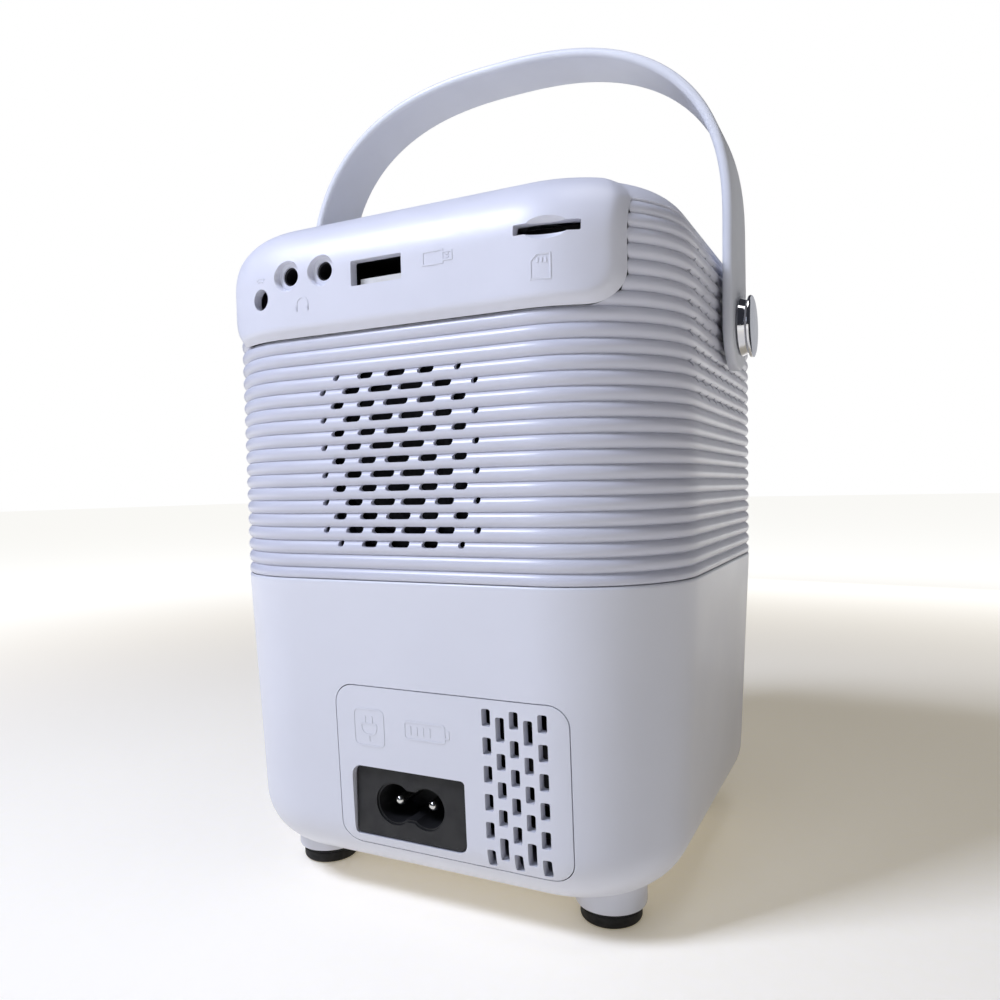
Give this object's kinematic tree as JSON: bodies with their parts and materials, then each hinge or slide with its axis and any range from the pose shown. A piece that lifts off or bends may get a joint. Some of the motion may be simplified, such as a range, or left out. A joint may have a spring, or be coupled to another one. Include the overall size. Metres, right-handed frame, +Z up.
{
  "type": "portable led projector",
  "caption": "Tower-shaped portable LED projector with a ribbed upper case, a swinging carry handle, a focus ring at the front and sockets and a mains inlet at the back.",
  "frame": {"origin": "on the surface that the projector stands on, midway across its width and depth", "axes": "+Z up; the lens looks along -Y, the sockets and the mains inlet are on the +Y side; +X is the projector's left seen from the front, which is on the left when the back is looked at"},
  "size_m": [0.1292, 0.12, 0.2064],
  "materials": {
    "white_shell": "cool white moulded plastic, satin",
    "white_strap": "cool white moulded plastic strap, satin",
    "black_plastic": "black moulded plastic, fine matt texture",
    "rubber_foot": "black rubber, matt",
    "chrome_cap": "bright chrome plating",
    "steel": "turned and pressed steel, zinc plated",
    "plated_metal": "nickel-plated sheet and pins",
    "grey_plastic": "grey moulded plastic",
    "key_plastic": "grey key caps, satin",
    "circuit_board": "green solder mask on glass-fibre board",
    "lens_glass": "coated optical glass",
    "mirror_glass": "front-silvered mirror",
    "aluminium": "extruded aluminium",
    "paper_cone": "black pressed paper cone",
    "battery_wrap": "blue shrink film"
  },
  "bodies": {
    "case": {"upper_housing": "white_shell", "top_cover": "white_shell", "lower_housing": "white_shell", "mid_frame": "grey_plastic", "service_panel": "white_shell", "ac_inlet": "black_plastic", "inlet_pin_left": "plated_metal", "inlet_pin_right": "plated_metal", "foot_pad_rear_left": "rubber_foot", "foot_pad_rear_right": "rubber_foot", "foot_pad_front_left": "rubber_foot", "foot_pad_front_right": "rubber_foot", "pivot_washer_left": "grey_plastic", "pivot_washer_right": "grey_plastic", "key_board": "circuit_board", "front_bezel": "black_plastic", "lens_mount": "black_plastic", "mirror_box": "black_plastic", "fold_mirror": "mirror_glass", "fresnel_lens": "lens_glass", "lcd_panel": "black_plastic", "light_tunnel": "grey_plastic", "condenser_lens": "lens_glass", "led_board": "aluminium", "heat_sink": "aluminium", "fan_frame": "black_plastic", "speaker_frame": "steel", "speaker_magnet": "steel", "main_board": "circuit_board", "usb_port": "plated_metal", "card_reader": "plated_metal", "av_jack": "black_plastic", "headphone_jack": "black_plastic", "ir_receiver": "black_plastic", "power_board": "circuit_board", "transformer": "grey_plastic", "bulk_capacitor": "black_plastic", "battery_pack": "battery_wrap"},
    "handle": {"carry_handle": "white_strap", "pivot_pin_left": "steel", "pivot_pin_right": "steel", "handle_cap_left": "chrome_cap", "handle_cap_right": "chrome_cap"},
    "focus_ring": {"focus_ring": "black_plastic"},
    "lens_group": {"lens_barrel": "black_plastic", "front_lens": "lens_glass", "rear_lens": "lens_glass"},
    "fan": {"fan_rotor": "black_plastic"},
    "cone": {"speaker_cone": "paper_cone"},
    "power_key": {"power_key": "key_plastic"},
    "menu_key": {"menu_key": "key_plastic"},
    "ok_key": {"ok_key": "key_plastic"},
    "up_key": {"up_key": "key_plastic"},
    "down_key": {"down_key": "key_plastic"},
    "left_key": {"left_key": "key_plastic"},
    "right_key": {"right_key": "key_plastic"}
  },
  "joints": [
    {"name": "handle_swing", "type": "hinge", "parent": "case", "child": "handle", "pos_m": [0, 0, 0.1323], "axis": [1, 0, 0], "range_deg": [-90, 90]},
    {"name": "focus_turn", "type": "hinge", "parent": "case", "child": "focus_ring", "pos_m": [0, -0.055, 0.112], "axis": [0, -1, 0], "range_deg": [-60, 60]},
    {"name": "lens_focus", "type": "slide", "parent": "case", "child": "lens_group", "axis": [0, -1, 0], "range_m": [-0.002, 0.002]},
    {"name": "fan_spin", "type": "hinge", "parent": "case", "child": "fan", "pos_m": [-0.0279, 0.038, 0.033], "axis": [0, 1, 0], "continuous": true},
    {"name": "cone_travel", "type": "slide", "parent": "case", "child": "cone", "axis": [0, 1, 0], "range_m": [-0.0008, 0.0008], "stiffness_N_per_m": 800},
    {"name": "power_press", "type": "slide", "parent": "case", "child": "power_key", "axis": [0, 0, -1], "range_m": [0, 0.0006], "stiffness_N_per_m": 600, "springref_m": -0.0008},
    {"name": "menu_press", "type": "slide", "parent": "case", "child": "menu_key", "axis": [0, 0, -1], "range_m": [0, 0.0006], "stiffness_N_per_m": 600, "springref_m": -0.0008},
    {"name": "ok_press", "type": "slide", "parent": "case", "child": "ok_key", "axis": [0, 0, -1], "range_m": [0, 0.0006], "stiffness_N_per_m": 600, "springref_m": -0.0008},
    {"name": "up_press", "type": "slide", "parent": "case", "child": "up_key", "axis": [0, 0, -1], "range_m": [0, 0.0006], "stiffness_N_per_m": 600, "springref_m": -0.0008},
    {"name": "down_press", "type": "slide", "parent": "case", "child": "down_key", "axis": [0, 0, -1], "range_m": [0, 0.0006], "stiffness_N_per_m": 600, "springref_m": -0.0008},
    {"name": "left_press", "type": "slide", "parent": "case", "child": "left_key", "axis": [0, 0, -1], "range_m": [0, 0.0006], "stiffness_N_per_m": 600, "springref_m": -0.0008},
    {"name": "right_press", "type": "slide", "parent": "case", "child": "right_key", "axis": [0, 0, -1], "range_m": [0, 0.0006], "stiffness_N_per_m": 600, "springref_m": -0.0008}
  ],
  "couplings": [
    {"joint": "lens_focus", "follows": "focus_turn", "m_per_rad": 0.0019}
  ]
}
